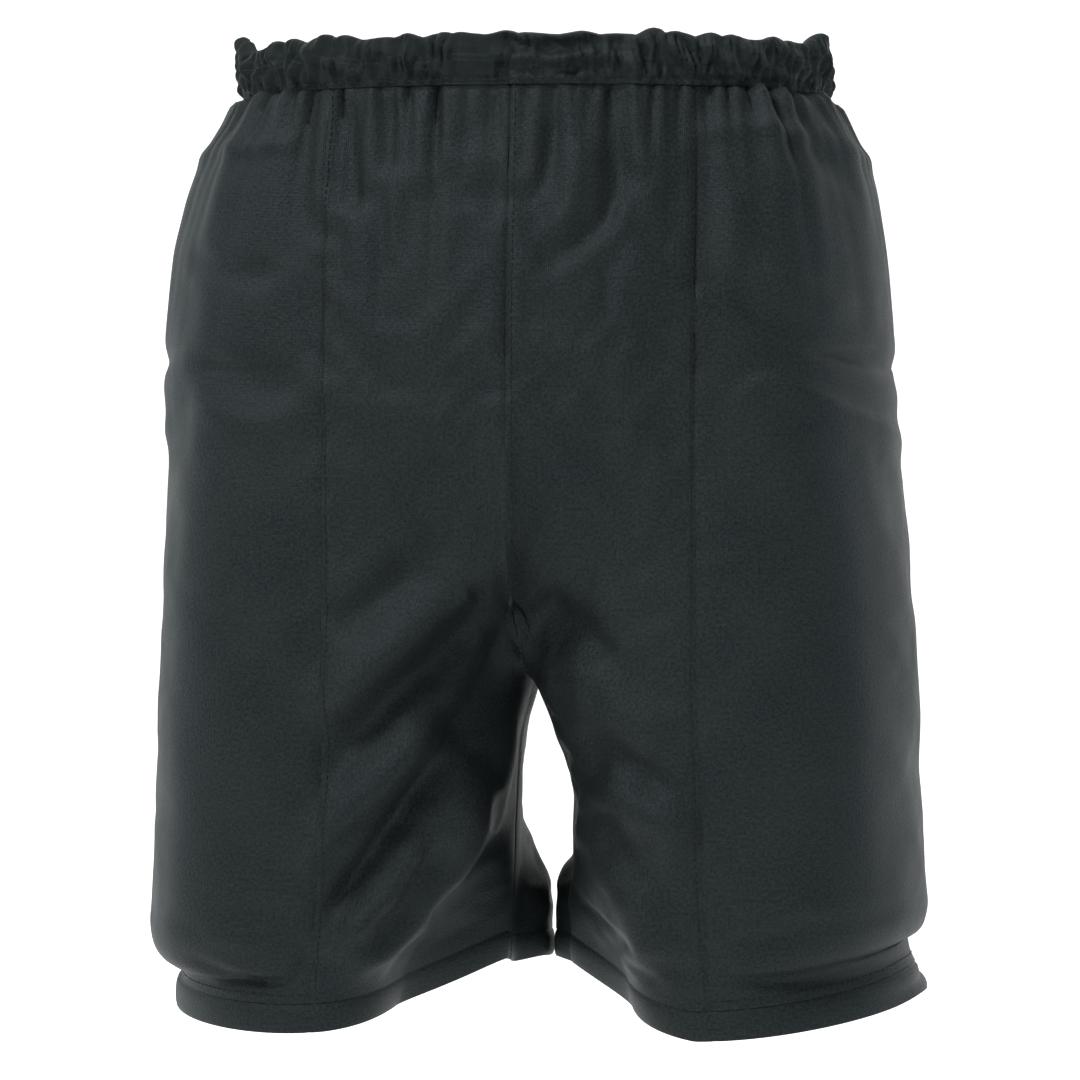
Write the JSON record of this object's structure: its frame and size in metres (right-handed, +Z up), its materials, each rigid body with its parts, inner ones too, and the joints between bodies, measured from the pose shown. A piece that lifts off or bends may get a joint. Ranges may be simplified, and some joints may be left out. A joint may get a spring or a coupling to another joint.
{
  "type": "padded impact shorts",
  "caption": "Black knit impact shorts with an elastic ruched waist, side pockets that hold loose hip and thigh pads, and a tailbone pad.",
  "frame": {"origin": "centre of the waist opening, at the top edge of the waistband", "axes": "+Z up towards the waist, the front of the shorts faces -Y, the wearer's left is +X"},
  "size_m": [0.3882, 0.2587, 0.466],
  "materials": {
    "shell_knit": "satin",
    "lining_mesh": "matte",
    "elastic": "matte",
    "thread": "satin",
    "label_tape": "satin",
    "pad_foam": "matte"
  },
  "bodies": {
    "shell": {"left_front_panel": "shell_knit", "right_front_panel": "shell_knit", "left_back_panel": "shell_knit", "right_back_panel": "shell_knit", "left_side_panel": "shell_knit", "right_side_panel": "shell_knit", "left_pocket_lining": "lining_mesh", "right_pocket_lining": "lining_mesh", "left_leg_hem": "shell_knit", "right_leg_hem": "shell_knit", "left_pocket_stitching": "thread", "right_pocket_stitching": "thread", "left_hem_stitching": "thread", "right_hem_stitching": "thread", "tailbone_pocket": "lining_mesh", "waistband_casing": "shell_knit", "waist_elastic": "elastic", "waist_stitching": "thread", "care_label": "label_tape", "centre_front_stitching": "thread", "centre_back_stitching": "thread"},
    "left_hip": {"left_hip_pad": "pad_foam"},
    "right_hip": {"right_hip_pad": "pad_foam"},
    "left_thigh": {"left_thigh_pad": "pad_foam"},
    "right_thigh": {"right_thigh_pad": "pad_foam"},
    "tailbone": {"tailbone_pad": "pad_foam"}
  },
  "joints": [
    {"name": "left_hip_pad_slide", "type": "slide", "parent": "shell", "child": "left_hip", "axis": [-0.1191, -0.0298, 0.9924], "range_m": [0, 0.006]},
    {"name": "right_hip_pad_slide", "type": "slide", "parent": "shell", "child": "right_hip", "axis": [0.1191, -0.0298, 0.9924], "range_m": [0, 0.006]},
    {"name": "left_thigh_pad_slide", "type": "slide", "parent": "shell", "child": "left_thigh", "axis": [-0.0599, 0.02, 0.998], "range_m": [0, 0.008]},
    {"name": "right_thigh_pad_slide", "type": "slide", "parent": "shell", "child": "right_thigh", "axis": [0.0599, 0.02, 0.998], "range_m": [0, 0.008]},
    {"name": "tailbone_pad_slide", "type": "slide", "parent": "shell", "child": "tailbone", "axis": [0, -0.158, 0.9874], "range_m": [0, 0.005]}
  ]
}
